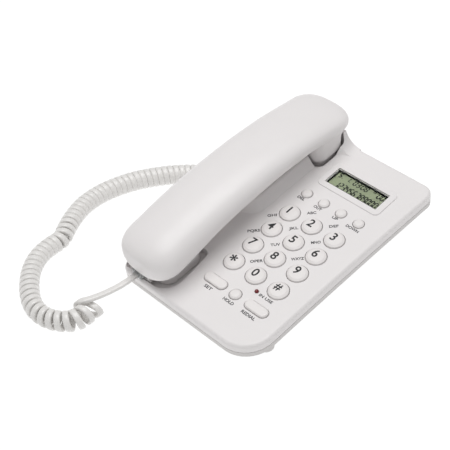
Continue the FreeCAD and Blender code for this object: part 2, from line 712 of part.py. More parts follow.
def grip_section(y, inset):
    """One closed rounded section of the handset, square to Y."""
    first, last = size("mouth_end") + inset, size("ear_end") - inset
    reach = size("end_round") - inset
    depth = min(y - first, last - y)
    power = 2.6
    open_by = 1.0
    if depth < reach:
        open_by = (1 - (1 - max(depth, 0) / reach) ** power) ** (1 / power)
    half = (size("grip_half") - inset) * (1 - (1 - open_by) * 0.80)
    top, low = grip_top(y, inset), eased(LOW_LINE, y) + inset
    middle = low + 0.45 * (top - low)
    squash = 1 - (1 - open_by) * 0.62
    rise, drop = (top - middle) * squash, (middle - low) * squash
    count, roundness = 28, 2 / 2.7
    points = []
    for step in range(count):
        turn = 2 * math.pi * (step + 0.5) / count
        across, up = math.cos(turn), math.sin(turn)
        x = half * math.copysign(abs(across) ** roundness, across)
        z = (rise if up > 0 else drop) * math.copysign(abs(up) ** roundness, up)
        points.append(Vector(size("grip_x") + x, y, middle + z))
    curve = Part.BSplineCurve()
    curve.interpolate(Points=points, PeriodicFlag=True,
                      Parameters=[step / count for step in range(count + 1)])
    return Part.Wire(curve.toShape())


def grip_form(inset):
    """The handset's outer form drawn in by inset: sections crowd towards both round ends."""
    first, last = size("mouth_end") + inset, size("ear_end") - inset
    reach, turns, spans = size("end_round") - inset, 6, 11
    ends = [reach * (1 - math.cos(math.pi / 2 * step / turns)) for step in range(turns + 1)]
    straight = last - first - 2 * reach
    middles = [first + reach + straight * step / spans for step in range(1, spans)]
    stations = [first + e for e in ends] + middles + [last - e for e in reversed(ends)]
    return Part.makeLoft([grip_section(y, inset) for y in stations], True, False, False, 5)


def rounded_ring(half, front, back, height, corner):
    """Closed wire of a rounded rectangle about the grip's middle line."""
    middle = size("grip_x")
    solid = block(middle - half, middle + half, front, back, height, height + 1, corner)
    low = [f for f in solid.Faces if f.BoundBox.ZMax < height + 1e-6][0]
    return low.OuterWire


def ear_cup(inset):
    """The ear cup drops from the grip and narrows towards the recess it sits in."""
    front, back = size("cup_front") + inset, size("cup_back") - inset
    rim = size("ear_rim") + inset
    half = size("ear_cup_half") - inset
    bottom = rounded_ring(half, front, back, rim, 8 - inset)
    neck = rounded_ring(half + 0.6, front - 0.3, back + 0.2, 12.2, 8 - inset)
    top = rounded_ring(half + 1.0, front - 0.5, back + 5.0, 19.0, 8 - inset)
    step = size("ear_step")
    middle = size("grip_x")
    boss = block(middle - half + step, middle + half - step, front + step, back - step,
                 size("cup_low") + inset, rim + 1, 6 - inset)
    return Part.makeLoft([bottom, neck, top], True, True).fuse(boss)


def mouth_cup(inset):
    """The mouth cup is narrower than the grip over it; a small block beside it holds the socket."""
    front, back = size("mouth_cup_front") + inset, size("mouth_cup_back") - inset
    half = size("mouth_cup_half") - inset
    middle, low, high = size("grip_x"), size("cup_low") + inset, 14.0
    cup = block(middle - half, middle + half, front, back, low, high, 8 - inset)
    x, wide = size("handset_socket_x"), size("jack_block_half") - inset
    jack = block(x - wide, x + wide, size("jack_block_front") + inset,
                 size("jack_block_back") - inset, size("jack_block_low") + inset, 10.5)
    return cup.fuse(jack)


def handset_form(inset):
    return grip_form(inset).fuse([ear_cup(inset), mouth_cup(inset)])


PARTING = [(-130.0, 9.6), (-104.0, 9.6), (-84.0, 12.4), (-60.0, 18.0), (-36.0, 21.2),
           (8.0, 23.0), (43.0, 21.4), (49.0, 18.0), (52.5, 1.6), (70.0, 1.6), (74.6, 15.0),
           (110.0, 15.0)]


def below_parting():
    """Everything under the line where the handset's two shells meet."""
    points = [Vector(-120, y, z) for y, z in PARTING]
    points += [Vector(-120, PARTING[-1][0], -60), Vector(-120, PARTING[0][0], -60)]
    return Part.Face(Part.makePolygon(points + points[:1])).extrude(Vector(130, 0, 0))


def sound_holes(y, z, spread, rings):
    """A round group of small holes through a cup's floor."""
    middle = size("grip_x")
    holes = [rod(1.6, z - 4, z + 4, middle, y)]
    for ring in range(1, rings + 1):
        count = 6 * ring
        for step in range(count):
            turn = 2 * math.pi * step / count
            holes.append(rod(1.6, z - 4, z + 4, middle + spread * ring * math.cos(turn),
                             y + spread * ring * math.sin(turn)))
    return holes


def ear_middle():
    return (size("cup_front") + size("cup_back")) / 2


def mouth_middle():
    return -81.0


def make_handset_shells():
    wall = size("wall")
    shell = handset_form(0).cut(handset_form(wall))
    below = below_parting()
    keep(shaped("outer_shell_form", shell.cut(below)), "handset_outer_shell")
    x, half = size("handset_socket_x"), size("notch_wide") / 2
    port = block(x - half, x + half, -112, -100, size("notch_low"), size("notch_high"))
    inner = shell.common(below)
    inner = inner.cut([port] + sound_holes(ear_middle(), size("cup_low"), 3.6, 3)
                      + sound_holes(mouth_middle(), size("cup_low"), 3.2, 1))
    floor = size("cup_low") + wall
    x, y = size("grip_x"), handset_screw_y()
    top = grip_top(y, 0) - wall - 0.4
    post = rod(6.0, floor - 0.5, top - 8, x, y)
    bores = [rod(size("screw_head") + 0.6, floor - 10, floor + 1, x, y),
             rod(size("screw_shank") + 0.2, floor - 10, top, x, y)]
    inner = inner.fuse(post).cut(bores)
    keep(shaped("inner_shell_form", inner), "handset_inner_shell")


def handset_screw_y():
    return size("mouth_cup_back") - 7.0


def make_receiver():
    y = ear_middle()
    floor = size("ear_rim") + size("wall")
    text = str(y)
    seal = cut("receiver_seal_cut", cylinder("receiver_seal_disc", "24", str(floor),
                                             str(floor + 1.2), "grip_x", text),
               [cylinder("receiver_seal_bore", "19", str(floor - 1), str(floor + 3), "grip_x",
                         text)])
    keep(seal, "receiver_seal")
    low = floor + 1.2
    can = cylinder("receiver_can", "24", str(low), str(low + 6), "grip_x", text)
    magnet = cylinder("receiver_magnet", "14", str(low + 6), str(low + 9), "grip_x", text)
    keep(fuse("receiver_body", [can, magnet]), "receiver_capsule")


def make_microphone():
    y = str(mouth_middle())
    floor = size("cup_low") + size("wall")
    ring = cut("microphone_holder_cut", cylinder(
        "microphone_holder_block", "14", str(floor), str(floor + 6), "grip_x", y),
        [cylinder("microphone_holder_bore", "9.8", str(floor - 1), str(floor + 8), "grip_x", y)])
    keep(ring, "microphone_holder")
    can = cylinder("microphone_can", "9.8", str(floor + 0.4), str(floor + 6.6), "grip_x", y)
    keep(can, "microphone_capsule")


def make_handset_weight():
    y = size("top_peak_y") + 22.0
    low = eased(LOW_LINE, y) + size("wall") + 0.6
    keep(plate("weight_bar", "grip_x - 9", "grip_x + 9", str(y - 27), str(y + 27), "7",
               str(low + 7)), "handset_weight")


def make_handset_socket():
    tall = size("socket_tall") / 2
    place = Placement(Vector(size("handset_socket_x"), size("handset_socket_y"),
                             size("handset_socket_z") - tall + 0.15), Rotation())
    make_socket("handset_socket", face_frame().multiply(place))


def make_handset_screw():
    seat = "cup_low + wall + 1"
    keep(make_screw("grip_screw", seat, seat + " + 14", "grip_x", str(handset_screw_y())),
         "handset_screw")


# ------------------------------------------------------------------ cord

# Points of the cord's route in the table frame.
LEAD_FROM_HANDSET = [(-59.9, -107.5, 16.85), (-59.7, -117.3, 16.2), (-61.3, -129.0, 16.0),
                     (-63.7, -139.7, 15.6), (-68.0, -146.0, 14.0), (-70.3, -150.5, 9.3)]
CURL = [(-63.2, -149.2), (-62.6, -156.0), (-69.0, -163.8), (-79.0, -168.8), (-90.0, -169.2),
        (-101.0, -165.2), (-112.0, -157.8), (-122.5, -148.0), (-130.0, -136.0), (-132.5, -124.0),
        (-132.2, -113.5), (-138.0, -105.5), (-144.0, -95.0), (-149.5, -82.0), (-151.5, -70.0),
        (-151.2, -56.0), (-146.5, -37.0), (-139.0, -22.0), (-130.0, -8.0), (-121.0, 2.0),
        (-112.0, 9.0)]
LEAD_TO_BASE = [(-112.0, 9.0, 6.8), (-105.0, 16.5, 7.5), (-100.0, 26.0, 10.5),
                (-94.0, 35.0, 14.5), (-87.0, 39.7, 17.2), (-79.5, 40.35, 18.05)]


def rounded_path(points):
    """Straight runs joined by tangent arcs; prints the arcs' radii."""
    spots = [Vector(*point) for point in points]
    edges, radii, start = [], [], spots[0]
    for before, corner, after in zip(spots, spots[1:], spots[2:]):
        into, out = (corner - before), (after - corner)
        shorter = min(into.Length, out.Length)
        into.normalize()
        out.normalize()
        half_turn = into.getAngle(out) / 2
        trim = 0.45 * shorter
        radius = trim / math.tan(half_turn)
        radii.append(round(radius, 1))
        enter, leave = corner - into * trim, corner + out * trim
        inwards = out - into
        inwards.normalize()
        middle = corner + inwards * (radius / math.cos(half_turn) - radius)
        edges.append(Part.LineSegment(start, enter).toShape())
        edges.append(Part.Arc(enter, middle, leave).toShape())
        start = leave
    edges.append(Part.LineSegment(start, spots[-1]).toShape())
    return Part.Wire(edges), radii


def tube(points, wide, label):
    path, radii = rounded_path(points)
    start = Vector(*points[0])
    heading = Vector(*points[1]) - start
    ring = Part.Wire(Part.makeCircle(wide / 2, start, heading))
    solid = path.makePipeShell([ring], True, False)
    expected = math.pi * wide ** 2 / 4 * path.Length
    print(label, "length %.1f" % path.Length, "radii", radii,
          "volume ratio %.3f" % (solid.Volume / expected))
    keep(shaped(label + "_tube", solid), label, table_frame())


def make_plug(label, frame):
    """A small clear plug with its latch tongue, seen along its own Y axis into the socket."""
    half = "plug_wide / 2"
    body = box(label + "_body", "-(%s)" % half, half, "0", "plug_long", "0", "plug_tall")
    tongue = box(label + "_tongue", "-1.2", "1.2", "1", "plug_long - 5.5", "plug_tall",
                 "plug_tall + 0.7")
    keep(fuse(label + "_parts", [body, tongue]), label, frame)


def make_cord():
    height = size("curl_wide") / 2 + 0.1
    tube(LEAD_FROM_HANDSET, size("cord_wide"), "cord_lead_handset")
    tube([(x, y, height) for x, y in CURL], size("curl_wide"), "cord_curl")
    tube(LEAD_TO_BASE, size("cord_wide"), "cord_lead_base")
    low = size("handset_socket_z") - size("plug_tall") / 2
    place = Placement(Vector(size("handset_socket_x"), size("mouth_end") + 0.4, low), Rotation())
    make_plug("cord_plug_handset", face_frame().multiply(place))
    turn = Rotation(Vector(0, 0, 1), -90)
    board = -size("line_board_top")
    place = Placement(Vector(-size("belly_left") - 5.5, size("base_socket_y"), board + 1.4), turn)
    make_plug("cord_plug_base", face_frame().multiply(place))


# ------------------------------------------------------------------ build and export

def build():
    fill_sheet()
    keep(shaped("upper_shell_form", upper_shell()), "base_upper_shell")
    keep(shaped("lower_shell_form", lower_shell()), "base_lower_shell")
    make_keys()
    make_round_buttons()
    make_pills()
    make_display()
    make_lamp()
    make_keypad_mat()
    make_boards()
    make_sockets()
    make_hook()
    make_ballast()
    make_ringer()
    make_pads()
    make_base_screws()
    make_handset_shells()
    make_receiver()
    make_microphone()
    make_handset_weight()
    make_handset_socket()
    make_handset_screw()
    make_cord()
    doc.recompute()


def check():
    for item in doc.Objects:
        if "Invalid" in item.State or "Error" in item.State:
            raise RuntimeError("%s failed: %s" % (item.Name, item.State))
    for item in PARTS:
        if item.Shape.isNull() or not item.Shape.isValid():
            raise RuntimeError("%s has no valid shape" % item.Label)


def export():
    os.makedirs("parts", exist_ok=True)
    for item in PARTS:
        item.Shape.exportStep("parts/%s.step" % item.Label)
        print(item.Label, "solids", len(item.Shape.Solids), "volume %.0f" % item.Shape.Volume)


build()
check()
export()
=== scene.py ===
import json
import math

import bmesh
import bpy
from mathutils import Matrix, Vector
from mathutils.bvhtree import BVHTree


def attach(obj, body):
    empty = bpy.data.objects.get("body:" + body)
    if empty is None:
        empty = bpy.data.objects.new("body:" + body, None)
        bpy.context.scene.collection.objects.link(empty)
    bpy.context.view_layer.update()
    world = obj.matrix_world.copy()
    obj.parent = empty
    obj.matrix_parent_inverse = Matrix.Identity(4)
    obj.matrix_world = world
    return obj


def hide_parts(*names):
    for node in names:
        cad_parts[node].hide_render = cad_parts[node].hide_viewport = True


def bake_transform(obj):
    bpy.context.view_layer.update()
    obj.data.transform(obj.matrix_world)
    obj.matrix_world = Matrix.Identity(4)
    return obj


# The looks of a corded desk telephone.  Every place on the sloping face is given in millimetres
# in the face's own frame: the origin is on the face under the middle of the "2" key, X runs to
# the right along the key rows, Y up the face, and Z out of it.

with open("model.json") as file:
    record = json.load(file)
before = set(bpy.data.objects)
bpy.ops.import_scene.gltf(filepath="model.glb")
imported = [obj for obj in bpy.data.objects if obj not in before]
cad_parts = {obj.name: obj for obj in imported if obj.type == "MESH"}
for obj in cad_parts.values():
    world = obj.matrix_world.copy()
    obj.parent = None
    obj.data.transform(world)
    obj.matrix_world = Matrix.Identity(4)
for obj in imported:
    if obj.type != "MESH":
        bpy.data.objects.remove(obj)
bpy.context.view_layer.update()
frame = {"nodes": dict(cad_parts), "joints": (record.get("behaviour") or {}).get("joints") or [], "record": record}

MM = 0.001
NORMAL = Vector([j for j in frame["joints"] if j["name"] == "handset_lift"][0]["axis"]).normalized()
TILT = math.atan2(-NORMAL.y, NORMAL.z)
ACROSS = Vector((1, 0, 0))
UP_FACE = Vector((0, math.cos(TILT), math.sin(TILT)))
KEY_PROUD = 1.7
KEY_PITCH_X, KEY_PITCH_Y = 20.0, 18.6


def crown(node):
    """The point of a node that stands highest out of the face."""
    points = [v.co for v in frame["nodes"][node].data.vertices]
    return max(points, key=lambda p: p.dot(NORMAL)).copy()


FACE = crown("key_2") - KEY_PROUD * MM * NORMAL


def on_face(x, y, z=0.0):
    """A point in the face's own frame."""
    return FACE + MM * (x * ACROSS + y * UP_FACE + z * NORMAL)


def on_table(x, y, z):
    """A point in metres from the table spot under the face's origin."""
    return Vector((FACE.x + x, FACE.y + y, z))


# ------------------------------------------------------------------ materials

def sockets(material):
    """The inputs of the material's shader."""
    return material.node_tree.nodes["Principled BSDF"].inputs


def new_material(name, colour, rough, **settings):
    material = bpy.data.materials.new(name)
    material.use_nodes = True
    inputs = sockets(material)
    inputs["Base Color"].default_value = (*colour, 1)
    inputs["Roughness"].default_value = rough
    for socket, value in settings.items():
        inputs[socket.replace("_", " ")].default_value = value
    return material


def noise(tree, scale, detail=2.0):
    place = tree.nodes.new("ShaderNodeTexCoord")
    grain = tree.nodes.new("ShaderNodeTexNoise")
    grain.inputs["Scale"].default_value = scale
    grain.inputs["Detail"].default_value = detail
    tree.links.new(place.outputs["Object"], grain.inputs["Vector"])
    return grain.outputs["Fac"]


def spread(tree, value, low, high):
    """Turn a 0..1 value into a narrow range."""
    change = tree.nodes.new("ShaderNodeMapRange")
    change.inputs["From Min"].default_value = 0.3
    change.inputs["From Max"].default_value = 0.7
    change.inputs["To Min"].default_value = low
    change.inputs["To Max"].default_value = high
    tree.links.new(value, change.inputs["Value"])
    return change.outputs["Result"]


def mottle(material, colour, amount, scale):
    """Vary the colour a little, as moulded plastic does."""
    tree = material.node_tree
    mix = tree.nodes.new("ShaderNodeMix")
    mix.data_type = "RGBA"
    mix.inputs["A"].default_value = (*[c * (1 - amount) for c in colour], 1)
    mix.inputs["B"].default_value = (*[min(c * (1 + amount), 1) for c in colour], 1)
    tree.links.new(noise(tree, scale, 3.0), mix.inputs["Factor"])
    tree.links.new(mix.outputs["Result"], sockets(material)["Base Color"])


def roughen(material, rough, amount, scale):
    """Vary the roughness a little."""
    tree = material.node_tree
    tree.links.new(spread(tree, noise(tree, scale), rough - amount, rough + amount),
                   sockets(material)["Roughness"])


def bump(material, scale, strength, height):
    """Raise a fine grain out of the surface."""
    tree = material.node_tree
    raised = tree.nodes.new("ShaderNodeBump")
    raised.inputs["Strength"].default_value = strength
    raised.inputs["Distance"].default_value = height
    tree.links.new(noise(tree, scale), raised.inputs["Height"])
    tree.links.new(raised.outputs["Normal"], sockets(material)["Normal"])


def moulded(name, colour, rough, grain=2600, depth=0.00003, **settings):
    """Satin moulded plastic: faint colour drift, uneven gloss and a fine spark-eroded grain."""
    material = new_material(name, colour, rough, **settings)
    mottle(material, colour, 0.012, 60)
    roughen(material, rough, 0.05, 240)
    bump(material, grain, 0.35, depth)
    return material


def make_materials():
    shell = (0.800, 0.775, 0.772)
    return {
        "white_shell": moulded("white_shell", shell, 0.42),
        # Painted shade: the lower shell is the shell's white darkened, so that the base's sides look shaded.
        "white_shell_lower": moulded("white_shell_lower", (0.66, 0.64, 0.63), 0.5, depth=0.00005),
        "handset_shell": moulded("handset_shell", shell, 0.36, depth=0.00002),
        "key_plastic": moulded("key_plastic", (0.815, 0.785, 0.775), 0.33, depth=0.000015),
        # Painted shade: the inner shell is the shell's white darkened, for the shade in the gap under the handset.
        "white_inner": moulded("white_inner", (0.6, 0.58, 0.56), 0.5),
        "clear_window": new_material("clear_window", (0.97, 0.99, 0.96), 0.03,
                                     Transmission_Weight=1.0, IOR=1.08),
        "display_glass": display_material(),
        "red_lamp": new_material("red_lamp", (0.16, 0.004, 0.006), 0.22, Coat_Weight=0.6),
        "mat_rubber": moulded("mat_rubber", (0.2, 0.2, 0.21), 0.75),
        "board": moulded("board", (0.03, 0.14, 0.04), 0.4, grain=900),
        "chip_resin": new_material("chip_resin", (0.01, 0.01, 0.01), 0.25),
        "socket_plastic": moulded("socket_plastic", (0.5, 0.49, 0.47), 0.3),
        "dark_plastic": moulded("dark_plastic", (0.02, 0.02, 0.02), 0.5),
        # Painted shade: this black lining darkens the walls of the display's opening, where shade falls in the
        # recess.
        "black_foam": moulded("black_foam", (0.012, 0.012, 0.012), 0.9, grain=1500,
                              depth=0.0002),
        "steel": metal_material(),
        "foot_rubber": moulded("foot_rubber", (0.16, 0.16, 0.16), 0.8, grain=1200,
                               depth=0.00008),
        "cord_vinyl": cord_material(),
        "plug_clear": new_material("plug_clear", (0.82, 0.84, 0.84), 0.08, IOR=1.45,
                                   Transmission_Weight=0.75),
        "print_black": new_material("print_black", (0.012, 0.012, 0.014), 0.55),
        "print_grey": new_material("print_grey", (0.016, 0.016, 0.022), 0.6),
        "segment_black": new_material("segment_black", (0.002, 0.003, 0.002), 0.6),
    }


def display_material():
    colour = (0.36, 0.40, 0.27)
    material = new_material("display_glass", colour, 0.25, Coat_Weight=0.15)
    mottle(material, colour, 0.05, 90)
    return material


def metal_material():
    material = new_material("steel", (0.56, 0.56, 0.57), 0.35, Metallic=1.0)
    roughen(material, 0.35, 0.08, 700)
    return material


def cord_material():
    colour = (0.80, 0.785, 0.765)
    material = new_material("cord_vinyl", colour, 0.28, Coat_Weight=0.2)
    mottle(material, colour, 0.02, 120)
    roughen(material, 0.28, 0.06, 500)
    bump(material, 1800, 0.25, 0.00002)
    return material


def paint_cad_nodes(materials):
    """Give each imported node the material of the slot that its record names."""
    for row in frame["record"]["subparts"]:
        node = frame["nodes"][row["node"]]
        node.data.materials.clear()
        node.data.materials.append(materials[row["material_slot"]])


# ------------------------------------------------------------------ pieces

def new_object(name, mesh, material):
    piece = bpy.data.objects.new(name, mesh)
    bpy.context.collection.objects.link(piece)
    piece.data.materials.clear()
    piece.data.materials.append(material)
    return piece


def mesh_of(curve_object):
    """The finished mesh of a curve or text, which is deleted."""
    bpy.context.collection.objects.link(curve_object)
    bpy.context.view_layer.update()
    graph = bpy.context.evaluated_depsgraph_get()
    mesh = bpy.data.meshes.new_from_object(curve_object.evaluated_get(graph))
    curve = curve_object.data
    bpy.data.objects.remove(curve_object)
    bpy.data.curves.remove(curve)
    return mesh


# A height over the face, in millimetres, that no key or print reaches.
ABOVE_ALL_KEYS = 12


def surface_of(node):
    """The node's surface, to measure heights on."""
    mesh = frame["nodes"][node].data
    return BVHTree.FromPolygons([v.co for v in mesh.vertices],
                                [list(p.vertices) for p in mesh.polygons])


def height_over_face(surface, x, y):
    """How far the surface stands out of the face at x, y, in millimetres."""
    start = on_face(x, y, ABOVE_ALL_KEYS)
    spot = surface.ray_cast(start, -NORMAL)[0]
    return ABOVE_ALL_KEYS - (spot - start).length / MM if spot else 0.0


def plain_text(words, weight=0.0):
    """Text one unit high, as a thin mesh; the weight thickens its strokes."""
    text = bpy.data.curves.new("words", "FONT")
    text.body = words
    text.align_x = "CENTER"
    text.resolution_u = 4
    text.extrude = 0.01
    text.offset = weight
    return mesh_of(bpy.data.objects.new("words", text))


MOST_SPLITS = 4


def divided(mesh, longest):
    """Split the long edges of a mesh, so that it can follow a domed surface."""
    form = bmesh.new()
    form.from_mesh(mesh)
    bmesh.ops.triangulate(form, faces=form.faces)
    for _ in range(MOST_SPLITS):
        edges = [edge for edge in form.edges if edge.calc_length() > longest]
        if not edges:
            break
        bmesh.ops.subdivide_edges(form, edges=edges, cuts=1)
        bmesh.ops.triangulate(form, faces=form.faces)
    form.to_mesh(mesh)
    form.free()


def extent(mesh, axis):
    """The lowest and highest place of a mesh along an axis."""
    values = [v.co[axis] for v in mesh.vertices]
    return min(values), max(values)


# How tall a capital letter is in the text's own units, how far print stands out of the surface in
# millimetres, how much its strokes are thickened, and its longest edge in millimetres.
CAPITAL = extent(plain_text("H"), 1)[1]
INK = 0.1
WEIGHT = 0.016
LONGEST_EDGE = 0.8


def lettering(name, words, node, material, x, y, height, width=None, turn=0.0):
    """Print words on a node, centred at x, y on the face, following the node's surface."""
    mesh = plain_text(words, WEIGHT)
    left, right = extent(mesh, 0)
    low, high = extent(mesh, 1)
    scale = height / CAPITAL
    divided(mesh, LONGEST_EDGE / scale)
    stretch = width / (right - left) if width else scale
    surface = surface_of(node)
    cosine, sine = math.cos(turn), math.sin(turn)
    for vertex in mesh.vertices:
        across = (vertex.co.x - (left + right) / 2) * stretch
        up = (vertex.co.y - (low + high) / 2) * scale
        ink = INK if vertex.co.z > 0 else -INK / 2
        spot_x = x + across * cosine - up * sine
        spot_y = y + across * sine + up * cosine
        vertex.co = on_face(spot_x, spot_y, height_over_face(surface, spot_x, spot_y) + ink)
    return new_object(name, mesh, material)


# Print on the keys and beside them, in millimetres from a key's middle.
DIGIT_HEIGHT = 6.3
STAR_HEIGHT, HASH_HEIGHT = 1.35 * DIGIT_HEIGHT, 0.88 * DIGIT_HEIGHT
DIGIT_SHIFT = (-1.3, 1.3)
LETTERS_HEIGHT, LETTER_WIDTH = 2.2, 2.15
LETTERS_SHIFT = (-8.5, 9.6)
LETTERS_TURN = math.radians(44)


def key_places():
    """The middle of each key, row by row from the top left."""
    names = ["1", "2", "3", "4", "5", "6", "7", "8", "9", "star", "0", "hash"]
    return {name: ((place % 3 - 1) * KEY_PITCH_X, -(place // 3) * KEY_PITCH_Y)
            for place, name in enumerate(names)}


def print_keys(materials):
    marks = {"star": "*", "hash": "#"}
    letters = {"2": "ABC", "3": "DEF", "4": "GHI", "5": "JKL", "6": "MNO", "7": "PQRS",
               "8": "TUV", "9": "WXYZ", "0": "OPER"}
    for name, (x, y) in key_places().items():
        node = "key_" + name
        mark = marks.get(name, name)
        height = {"*": STAR_HEIGHT, "#": HASH_HEIGHT}.get(mark, DIGIT_HEIGHT)
        digit = lettering("digit_" + name, mark, node, materials["print_black"],
                          x + DIGIT_SHIFT[0], y + DIGIT_SHIFT[1], height)
        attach(digit, node)
        if name in letters:
            word = letters[name]
            label = lettering("letters_" + name, word, "base_upper_shell",
                              materials["print_grey"], x + LETTERS_SHIFT[0],
                              y + LETTERS_SHIFT[1], LETTERS_HEIGHT,
                              width=LETTER_WIDTH * len(word), turn=LETTERS_TURN)
            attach(label, "base")


def print_labels(materials):
    """Labels under the buttons and by the lamp: words, middle, capitals' height and width."""
    labels = [("DEL", -23.4, 15.7, 2.1, 6.2), ("OUT", -8.3, 15.7, 2.1, 6.6),
              ("UP", 7.3, 15.7, 2.1, 4.6), ("DOWN", 22.6, 15.6, 2.1, 10.4),
              ("SET", -17.9, -82.6, 2.3, 6.4), ("HOLD", 0.5, -82.5, 2.3, 8.9),
              ("REDIAL", 18.4, -82.6, 2.3, 11.6), ("IN USE", 18.1, -65.6, 2.1, 11.2)]
    for words, x, y, height, width in labels:
        label = lettering("label_" + words.lower().replace(" ", "_"), words,
                          "base_upper_shell", materials["print_grey"], x, y, height, width)
        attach(label, "base")


# ------------------------------------------------------------------ display

# Which of a digit's seven bars are on: top, upper left, upper right, middle, lower left,
# lower right, bottom.
SEGMENTS = {"0": "1110111", "1": "0010010", "2": "1011101", "3": "1011011", "4": "0111010",
            "5": "1101011", "6": "1101111", "7": "1010010", "8": "1111111", "9": "1111011"}
LEAN = 0.10
DISPLAY_Y = 46.5
BAR_WIDE, BAR_THICK, BAR_GAP = 0.92, 0.06, 0.07


def bar(form, a, b, wide, lift):
    """One pointed bar of a digit, as a thin closed block on the display."""
    a, b = Vector(a), Vector(b)
    along = (b - a).normalized()
    side = Vector((-along.y, along.x)) * wide / 2
    inner = along * wide / 2
    outline = [a, a + inner + side, b - inner + side, b, b - inner - side, a + inner - side]
    rings = []
    for z in (lift, lift + BAR_THICK):
        rings.append([form.verts.new(on_face(p.x + LEAN * (p.y - DISPLAY_Y), p.y, z))
                      for p in outline])
    low, high = rings
    form.faces.new(reversed(low))
    form.faces.new(high)
    for place in range(6):
        after = (place + 1) % 6
        form.faces.new((low[place], low[after], high[after], high[place]))


def digit_bars(form, mark, x, y, wide, tall, lift):
    """The bars of one digit, centred at x, y."""
    left, right, low, middle, high = x - wide / 2, x + wide / 2, y - tall / 2, y, y + tall / 2
    ends = [((left, high), (right, high)), ((left, middle), (left, high)),
            ((right, middle), (right, high)), ((left, middle), (right, middle)),
            ((left, low), (left, middle)), ((right, low), (right, middle)),
            ((left, low), (right, low))]
    for on, (a, b) in zip(SEGMENTS[mark], ends):
        if on == "1":
            a, b = Vector(a), Vector(b)
            trim = (b - a).normalized() * BAR_GAP
            bar(form, a + trim, b - trim, BAR_WIDE, lift)


def make_display(materials):
    """Two rows of plain digits: a date and a time over a row of numbers."""
    lift = height_over_face(surface_of("display_glass"), 1.4, DISPLAY_Y) + 0.02
    form = bmesh.new()
    digit_bars(form, "5", -17.6, 51.4, 1.9, 4.0, lift)
    digit_bars(form, "1", -10.6, 51.4, 1.9, 4.0, lift)
    for x, mark in ((-4.4, "0"), (-1.3, "3"), (2.5, "0"), (5.6, "8")):
        digit_bars(form, mark, x, 51.4, 2.0, 4.4, lift)
    for x, mark in ((16.6, "0"), (19.8, "0")):
        digit_bars(form, mark, x, 51.6, 2.1, 4.8, lift)
    for place, mark in enumerate("123456789000"):
        digit_bars(form, mark, -13.4 + 3.08 * place, 43.0, 2.0, 5.4, lift)
    for x, y in ((-15.3, 49.6), (-8.6, 49.6)):
        bar(form, (x, y - 0.5), (x + 0.35, y + 0.5), 0.4, lift)
    for y in (50.2, 52.4):
        bar(form, (0.3, y), (0.95, y), 0.55, lift)
    for x in (11.2, 12.4):
        bar(form, (x, 51.6), (x, 54.0), 0.4, lift)
    for y in (52.3, 53.3):
        bar(form, (10.5, y), (13.1, y), 0.4, lift)
    mesh = bpy.data.meshes.new("display_digits")
    form.to_mesh(mesh)
    form.free()
    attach(new_object("display_digits", mesh, materials["segment_black"]), "base")


# ------------------------------------------------------------------ cord

CORD_WIDE, CORD_THICK = 0.0043, 0.0029
STEPS_PER_TURN = 12
# A smooth line through a turn's points runs a little inside them.
REACH_LOSS = 0.966
# Samples of the smooth lines, for each point that controls them.
COIL_SAMPLES, CORD_SAMPLES = 24, 2
# The last turn ends on the coil's top, this far or less from the end of the line.
COIL_END = 0.006
FLOOR_GAP = 0.0001

# Points in metres from the table spot under the face's origin.  The lead leaves the handset, runs
# over the end of the coil, folds down its far side and goes under it into the first turn.
LEAD = [(-0.0599, -0.1070, 0.0169), (-0.0597, -0.1173, 0.0162), (-0.0607, -0.1251, 0.0160),
        (-0.0619, -0.1327, 0.0160), (-0.0637, -0.1397, 0.0160), (-0.0662, -0.1455, 0.0157)]
FIRST_TURN = [(-0.0698, -0.1490, 0.0145), (-0.0730, -0.1490, 0.0095), (-0.0722, -0.1478, 0.0040),
              (-0.0685, -0.1455, 0.0019), (-0.0635, -0.1425, 0.0019), (-0.0590, -0.1405, 0.0040),
              (-0.0578, -0.1408, 0.0080), (-0.0600, -0.1420, 0.0112), (-0.0660, -0.1434, 0.0116),
              (-0.0708, -0.1440, 0.0100), (-0.0718, -0.1458, 0.0060), (-0.0690, -0.1476, 0.0022),
              (-0.0635, -0.1488, 0.0019), (-0.0582, -0.1495, 0.0035)]
FIRST_TURN_CENTRE_X, FIRST_TURN_CENTRE_Z = -0.0650, 0.0075
# The line that the turns are wound about.
COIL = [(-0.0632, -0.1492, 0.0080), (-0.0626, -0.1560, 0.0078), (-0.0690, -0.1638, 0.0071),
        (-0.0790, -0.1688, 0.0068), (-0.0900, -0.1692, 0.0067),
        (-0.1010, -0.1652, 0.0067), (-0.1120, -0.1578, 0.0067), (-0.1225, -0.1480, 0.0067),
        (-0.1300, -0.1360, 0.0067), (-0.1325, -0.1240, 0.0067), (-0.1322, -0.1135, 0.0067),
        (-0.1380, -0.1055, 0.0067), (-0.1440, -0.0950, 0.0067), (-0.1495, -0.0820, 0.0067),
        (-0.1515, -0.0700, 0.0067), (-0.1512, -0.0560, 0.0067), (-0.1465, -0.0370, 0.0067),
        (-0.1390, -0.0220, 0.0067), (-0.1300, -0.0080, 0.0067), (-0.1210, 0.0020, 0.0067),
        (-0.1120, 0.0095, 0.0067)]
LEAD_TO_BASE = [(-0.1050, 0.0175, 0.0120), (-0.1000, 0.0260, 0.0130), (-0.0940, 0.0350, 0.0155),
                (-0.0870, 0.0397, 0.0175), (-0.0820, 0.0403, 0.0180), (-0.0795, 0.04035, 0.01805)]
UP = Vector((0, 0, 1))


def smooth_line(points, samples):
    """Points along one smooth line that the given points control."""
    curve = bpy.data.curves.new("route", "CURVE")
    curve.dimensions = "3D"
    spline = curve.splines.new("NURBS")
    spline.points.add(len(points) - 1)
    for control, point in zip(spline.points, points):
        control.co = (*point, 1)
    spline.order_u = 3
    spline.use_endpoint_u = True
    curve.resolution_u = samples
    mesh = mesh_of(bpy.data.objects.new("route", curve))
    line = [v.co.copy() for v in mesh.vertices]
    bpy.data.meshes.remove(mesh)
    return line


def lengths_along(line):
    total = [0.0]
    for a, b in zip(line, line[1:]):
        total.append(total[-1] + (b - a).length)
    return total


